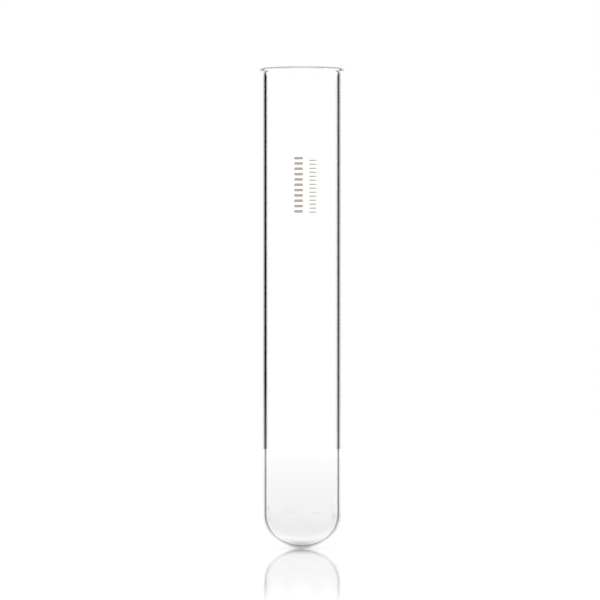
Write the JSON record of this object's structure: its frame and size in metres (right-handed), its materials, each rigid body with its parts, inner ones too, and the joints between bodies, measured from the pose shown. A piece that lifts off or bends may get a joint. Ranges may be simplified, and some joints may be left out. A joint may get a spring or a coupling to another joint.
{
  "type": "test tube",
  "caption": "Clear glass tube with a flared, fire-polished rim and a round closed end, for holding and heating small samples.",
  "frame": {"origin": "lowest point of the round bottom, on the tube's axis", "axes": "+Z along the axis from the closed end to the mouth; the marking is on the -Y side"},
  "size_m": [0.0266, 0.0266, 0.15],
  "materials": {
    "clear_glass": "clear, fire-polished borosilicate glass",
    "bold_enamel": "matt beige-grey fired-on enamel",
    "fine_enamel": "matt beige-grey fired-on enamel, thinly printed"
  },
  "bodies": {
    "root": {"glass_tube": "clear_glass", "bold_marking": "bold_enamel", "fine_marking": "fine_enamel"}
  },
  "joints": []
}
